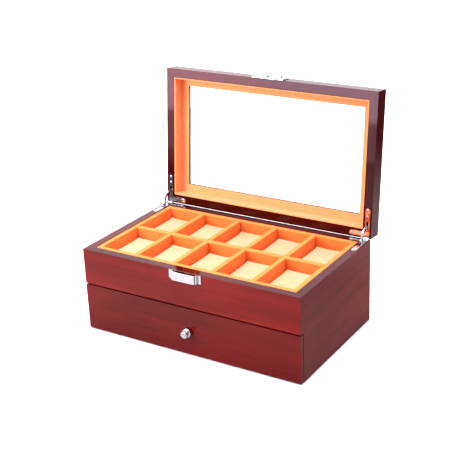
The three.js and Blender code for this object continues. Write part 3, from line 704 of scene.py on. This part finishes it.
# ---- drawer ------------------------------------------------------------------------------
# A lipped mahogany front on a plain box. The front is darker than the case: painted shade for
# the lower part of the box front, which gets less light. Inside are a velvet pad and three
# velvet-covered dividers that make six compartments.
# Darker than the case's stain: painted shade for the lower front.
drawer_dark = (0.07, 0.0036, 0.0034)
drawer_light = (0.19, 0.0102, 0.009)
drawer_face = grained("mahogany_drawer_painted_shade", along_x, drawer_dark, drawer_light, 0.5, 0.12, **lacquer)
eased("drawer_front", "drawer_front_lacquered", ARRIS, (drawer_face, deep_x))
for side in ("left", "right"):
    eased(f"drawer_side_{side}", f"drawer_side_{side}_board", 0.0006, (plain_y,))
for node in ("drawer_back", "drawer_floor"):
    eased(node, f"{node}_board", 0.0006, (plain_x,))
for node in ("drawer_divider_long", "drawer_divider_cross_1", "drawer_divider_cross_2"):
    eased(node, f"{node}_cloth", TURNED_EDGE, (apricot,), segments=4)


PAD_CELLS = 24  # each way, so that the top can curve
PAD_SHOULDER = 0.02
PAD_CROWN = 0.0005
PAD_WAVE = 0.00012


def soft_pad():
    """The pad on the drawer floor: foam under velvet, crowned and pulled down at its edges."""
    low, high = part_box("drawer_pad")
    bpy.ops.object.select_all(action="DESELECT")
    bpy.ops.mesh.primitive_cube_add(size=1)
    pad = bpy.context.object
    pad.name = "drawer_pad_cloth"
    bpy.ops.object.mode_set(mode="EDIT")
    bpy.ops.mesh.select_all(action="SELECT")
    bpy.ops.transform.resize(value=tuple(high - low))
    bpy.ops.object.mode_set(mode="OBJECT")
    settle(
        pad,
        "BEVEL",
        width=0.0009,
        segments=3,
        limit_method="ANGLE",
        angle_limit=math.radians(60),
    )
    alone(pad)
    bpy.ops.object.mode_set(mode="EDIT")
    bpy.ops.mesh.select_all(action="SELECT")
    for step in range(1, PAD_CELLS):
        for plane, span in ((0, high.x - low.x), (1, high.y - low.y)):
            normal = [0, 0, 0]
            normal[plane] = 1
            point = [0, 0, 0]
            point[plane] = span * (step / PAD_CELLS - 0.5)
            bpy.ops.mesh.select_all(action="SELECT")
            bpy.ops.mesh.bisect(plane_co=point, plane_no=normal)
    bpy.ops.object.mode_set(mode="OBJECT")
    half = (high - low) / 2
    for vertex in pad.data.vertices:
        place = vertex.co
        if place.z > half.z * 0.4:
            fall = min(1, (half.x - abs(place.x)) / PAD_SHOULDER)
            fall *= min(1, (half.y - abs(place.y)) / PAD_SHOULDER)
            place.z -= PAD_CROWN * (1 - fall)
            place.z += PAD_WAVE * math.sin(60 * place.x) * math.sin(75 * place.y + 1)
    alone(pad)
    bpy.ops.object.shade_smooth_by_angle(angle=math.radians(50))
    pad.data.transform(Matrix.Translation((low + high) / 2))
    pad.data.materials.append(apricot)
    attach(pad, "drawer")
    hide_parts("drawer_pad")


soft_pad()

# ---- drawer knob -------------------------------------------------------------------------
# A small turned and chromed knob: a neck, a wide collar, a groove and a domed button with a
# centre mark. A screw through the drawer front holds it.


def turned_piece(name, rings, sides):
    """Rings of (radius, height) grown one from another along +Z from a filled circle."""
    bpy.ops.object.select_all(action="DESELECT")
    first_radius, first_height = rings[0]
    bpy.ops.mesh.primitive_circle_add(vertices=sides, radius=first_radius, fill_type="NGON")
    piece = bpy.context.object
    piece.name = name
    bpy.ops.object.mode_set(mode="EDIT")
    bpy.ops.mesh.select_all(action="SELECT")
    bpy.ops.transform.translate(value=(0, 0, first_height))
    for (radius, height), (next_radius, next_height) in zip(rings, rings[1:]):
        rise = (0, 0, next_height - height)
        bpy.ops.mesh.extrude_region_move(TRANSFORM_OT_translate={"value": rise})
        ratio = next_radius / radius
        bpy.ops.transform.resize(value=(ratio, ratio, 1), center_override=(0, 0, next_height))
    bpy.ops.mesh.select_all(action="SELECT")
    bpy.ops.mesh.normals_make_consistent(inside=False)
    bpy.ops.object.mode_set(mode="OBJECT")
    bpy.ops.object.shade_smooth_by_angle(angle=math.radians(32))
    return piece


MM = 0.001
knob_low, knob_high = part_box("drawer_knob")
knob_rings = [
    (4.2, 0), (4.0, 0.4), (3.6, 1.4), (3.7, 1.8), (5.9, 2.1), (6.35, 2.3), (6.62, 2.7), (6.7, 3.2),
    (6.7, 4.3), (6.6, 4.8), (6.3, 5.3), (5.8, 5.7), (4.2, 6.1), (3.6, 6.3), (3.4, 6.6), (3.4, 7.7),
    (3.6, 8.05), (4.5, 8.3), (4.95, 8.6), (5.2, 9.1), (5.3, 9.7), (5.3, 10.6), (5.2, 11.2),
    (4.9, 11.7), (4.4, 12.05), (3.6, 12.3), (2.4, 12.45), (1.15, 12.5), (0.95, 12.4), (0.7, 12.0),
    (0.2, 11.8),
]
knob = turned_piece("drawer_knob_turned", [(r * MM, h * MM) for r, h in knob_rings], 64)
knob_middle = (knob_low + knob_high) / 2
outward = Matrix.Rotation(math.radians(90), 4, "X")
knob.data.transform(Matrix.Translation((knob_middle.x, knob_high.y, knob_middle.z)) @ outward)
knob.data.materials.append(chrome)
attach(knob, "drawer")
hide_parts("drawer_knob")
eased("knob_screw", "knob_screw_turned", 0.0002, (steel,), segments=2, angle=60)

# ---- lid frame ---------------------------------------------------------------------------
# Four mitred rails of mahogany in the deeper stain, lacquered like the case. A thin flange at
# the top edge of each covers the rim of the glass. The sides are a shade redder outside.
along_lid = (-math.pi - lid_swing, 0, math.radians(-90))
deep_lid = grained("deep_mahogany_lid_side", along_lid, deep_dark, deep_light, 0.3, 0.08, **lacquer)
for side, arris in (("front", ARRIS), ("back", MEETING_ARRIS)):
    eased(f"lid_rail_{side}", f"lid_rail_{side}_lacquered", arris, (deep_x,))
face_dark = (0.06, 0.003, 0.003)
face_light = (0.17, 0.009, 0.0075)
lid_face = grained("mahogany_lid_side", along_lid, face_dark, face_light, 0.45, 0.12, **lacquer)
for side, hand in (("left", -1), ("right", 1)):
    rail = eased(f"lid_rail_{side}", f"lid_rail_{side}_lacquered", ARRIS, (deep_lid,))
    rail.data.materials.append(lid_face)
    outside = max(abs(vertex.co.x) for vertex in rail.data.vertices)
    for polygon in rail.data.polygons:
        if polygon.center.x * hand > outside - 2e-5:
            polygon.material_index = 1

# ---- lid lining --------------------------------------------------------------------------
# Velvet on card inside the lid: strips round the walls that turn in under the glass as a
# mat, with a folded edge along the rim.
FOLD = 0.0004
# The same velvet as the tray, made paler and given more sheen: painted light on the lining, which
# faces the light in front.
lit_lid_velvet = velvet("apricot_velvet_lid_painted_light", (0.86, 0.31, 0.12), (0.96, 0.46, 0.23), 0.5, 0.5, 0.24)
for side in ("front", "right", "back", "left"):
    strip = f"lid_lining_{side}"
    eased(strip, f"{strip}_cloth", FOLD, (lit_lid_velvet,))

# ---- lid glass ---------------------------------------------------------------------------
# One pane of clear float glass with ground edges, held between the flange and the mat.
pane = bpy.data.materials.new("float_glass")
pane.use_nodes = True
pane_tree = pane.node_tree
pane_shader = pane_tree.nodes["Principled BSDF"]
pane_shader.inputs["Transmission Weight"].default_value = 1.0
pane_shader.inputs["IOR"].default_value = 1.46
pane_place = pane_tree.nodes.new("ShaderNodeTexCoord")
over_pane = pane_place.outputs["Object"]
wiped = stretched_noise(pane_tree, over_pane, (9, 30, 30), detail=3, distortion=1.0)
pane_tree.links.new(spread(pane_tree, wiped, 0.45, 0.8, 0.0, 0.05), pane_shader.inputs["Roughness"])
greenish = (0.97, 0.985, 0.98, 1)
clean = blend_colour(pane_tree, spread(pane_tree, wiped, 0.3, 0.8), (1, 1, 1, 1), greenish)
pane_tree.links.new(clean, pane_shader.inputs["Base Color"])
eased("lid_glass", "lid_glass_pane", 0.0002, (pane,), segments=2)

# ---- catch on the lid --------------------------------------------------------------------
# A chromed plate on the front of the lid with a cranked tongue. The tongue has an eye for
# the nib of the button, and two screws hold the plate. Their near-black heads are painted
# shade, standing in for the shade in the plate's screw holes.
CATCH_EDGE = 0.00025
TONGUE_ROOM = 0.0003  # filed off the right edge of the tongue, to clear the plate on the case
RIGHT_OF_TONGUE = 0.02
catch_plate = eased("lid_catch", "lid_catch_plate", CATCH_EDGE, (chrome,), segments=2)
corners = [v.co for v in catch_plate.data.vertices if v.co.x < RIGHT_OF_TONGUE]
tongue_edge = max(corner.x for corner in corners)
for corner in corners:
    if corner.x > tongue_edge - TONGUE_ROOM:
        corner.x -= TONGUE_ROOM
catch_shape = frame["nodes"]["lid_catch"]
shut = opened.inverted()
catch_face = min((shut @ vertex.co).y for vertex in catch_shape.data.vertices)
# The catch's screw heads are near black: painted shade, where the plate's holes lie in shade.
catch_screw_dark = metal("catch_screw_dark_steel", (0.1, 0.07, 0.08), (0.06, 0.045, 0.05), 0.3)
for count, (x, z) in enumerate(((-0.006, 0.1375), (0.013, 0.1425)), 1):
    flat = Matrix.Rotation(math.radians(90), 4, "X") @ Matrix.Rotation(count, 4, "Z")
    there = opened @ Matrix.Translation((x, catch_face, z)) @ flat
    screw = drive_screw(f"lid_catch_screw_{count}", there, "lid")
    screw.data.materials[0] = catch_screw_dark
bpy.data.objects.remove(head)

# ---- stage -------------------------------------------------------------------------------
# A white table under soft light, nearly shadowless. The table is brightest in front and to
# the left of the box, and the light falls away behind it to the right.
bpy.ops.object.select_all(action="DESELECT")
bpy.ops.mesh.primitive_plane_add(size=40)
floor = bpy.context.object
floor.name = "floor"
table = bpy.data.materials.new("white_table")
table.use_nodes = True
table_tree = table.node_tree
table_shader = table_tree.nodes["Principled BSDF"]
table_shader.inputs["Roughness"].default_value = 0.9
table_place = table_tree.nodes.new("ShaderNodeTexCoord")
table_axes = table_tree.nodes.new("ShaderNodeSeparateXYZ")
table_tree.links.new(table_place.outputs["Object"], table_axes.inputs["Vector"])
away = arithmetic(
    table_tree,
    "ADD",
    arithmetic(table_tree, "MULTIPLY", table_axes.outputs["X"], 0.6),
    arithmetic(table_tree, "MULTIPLY", table_axes.outputs["Y"], 0.8),
)
distance = table_tree.nodes.new("ShaderNodeVectorMath")
distance.operation = "LENGTH"
table_tree.links.new(table_place.outputs["Object"], distance.inputs[0])
ray = table_tree.nodes.new("ShaderNodeLightPath")
through_glass = ray.outputs["Is Transmission Ray"]
seen = arithmetic(table_tree, "MAXIMUM", ray.outputs["Is Camera Ray"], through_glass)
DARK_PATCH = (-0.64, -0.6, 0)  # what the left hinge mirrors
lit = spread(table_tree, away, -0.3, 0.3, 0.5, 0.2)
lit = arithmetic(table_tree, "ADD", lit, spread(table_tree, away, 0.3, 0.5, 0.0, 0.25))
lit = arithmetic(table_tree, "MULTIPLY", lit, spread(table_tree, away, 0.6, 1.0, 1.0, 0.03))
gap = table_tree.nodes.new("ShaderNodeVectorMath")
gap.operation = "DISTANCE"
gap.inputs[1].default_value = DARK_PATCH
table_tree.links.new(table_place.outputs["Object"], gap.inputs[0])
round_patch = spread(table_tree, gap.outputs["Value"], 0.2, 0.36)
lit = arithmetic(table_tree, "MULTIPLY", lit, round_patch)
burnt_out = spread(table_tree, distance.outputs["Value"], 0.3, 0.8, 0.0, 0.8)
seen_colour = (0.92, 0.915, 0.92, 1)
unseen_colour = blend_colour(table_tree, lit, (0, 0, 0, 1), (0.95, 0.95, 0.95, 1))
colour = blend_colour(table_tree, seen, unseen_colour, seen_colour)
table_tree.links.new(colour, table_shader.inputs["Base Color"])
table_shader.inputs["Emission Color"].default_value = (1, 1, 1, 1)
unseen_glow = spread(table_tree, distance.outputs["Value"], 0.3, 0.42, 0.1, 0.0)
glow_gap = arithmetic(table_tree, "SUBTRACT", burnt_out, unseen_glow)
seen_glow = arithmetic(table_tree, "MULTIPLY", seen, glow_gap)
glow = arithmetic(table_tree, "ADD", unseen_glow, seen_glow)
table_tree.links.new(glow, table_shader.inputs["Emission Strength"])
floor.data.materials.append(table)

# the room: bright overhead and behind, dim at the level of the eye in front, white to look at
world = bpy.data.worlds.new("studio")
world.use_nodes = True
room = world.node_tree
toward = room.nodes.new("ShaderNodeTexCoord")
compass = room.nodes.new("ShaderNodeSeparateXYZ")
room.links.new(toward.outputs["Generated"], compass.inputs["Vector"])
overhead = spread(room, compass.outputs["Z"], 0.0, 1.0, 0.2, 1.0)
behind = spread(room, compass.outputs["Y"], 0.0, 0.8, 0.0, 0.75)
glare = arithmetic(room, "ADD", overhead, behind)
room_ray = room.nodes.new("ShaderNodeLightPath")
room_glass = room_ray.outputs["Is Transmission Ray"]
room_seen = arithmetic(room, "MAXIMUM", room_ray.outputs["Is Camera Ray"], room_glass)
missing = arithmetic(room, "SUBTRACT", 1.08, glare)
seen_part = arithmetic(room, "MULTIPLY", room_seen, missing)
backdrop = room.nodes["Background"]
room.links.new(arithmetic(room, "ADD", glare, seen_part), backdrop.inputs["Strength"])
backdrop.inputs["Color"].default_value = (1.0, 0.96, 1.03, 1)
bpy.context.scene.world = world


def softbox(name, place, aim, wide, high, power, colour=(1, 1, 1)):
    """An area light turned to a point. It lights the object and is not itself seen."""
    lamp = bpy.data.lights.new(name, "AREA")
    lamp.color = colour
    lamp.shape = "RECTANGLE"
    lamp.size = wide
    lamp.size_y = high
    lamp.energy = power
    box = bpy.data.objects.new(name, lamp)
    bpy.context.scene.collection.objects.link(box)
    box.location = place
    box.rotation_euler = (Vector(aim) - Vector(place)).to_track_quat("-Z", "Y").to_euler()
    box.visible_camera = False


softbox("overhead", (0.0, 0.0, 1.5), (0, 0, 0.1), 1.2, 1.2, 18)
softbox("key", (-0.45, -0.6, 0.5), (-0.1, 0, 0.1), 0.35, 0.35, 3.6)
# two low strips in front and to the left, which the open lid mirrors
MAUVE = (1.0, 0.74, 0.9)
softbox("low_front", (-0.62, -1.05, 0.21), (-0.05, 0.1, 0.28), 0.85, 0.18, 2.8, MAUVE)
softbox("lower_front", (-0.62, -1.05, 0.065), (-0.05, 0.1, 0.12), 0.95, 0.1, 0.45, MAUVE)

lens = bpy.data.cameras.new("camera")
lens.sensor_width = 36
lens.lens = 79.572
camera = bpy.data.objects.new("camera", lens)
bpy.context.scene.collection.objects.link(camera)
camera.location = (0.71348, -1.10845, 0.68408)
camera.rotation_euler = [math.radians(a) for a in (67.972, 2.037, 31.38)]
bpy.context.scene.camera = camera
bpy.context.scene.view_settings.view_transform = "Standard"
bpy.context.scene.view_settings.look = "Medium High Contrast"
bpy.context.scene.view_settings.exposure = 0.25
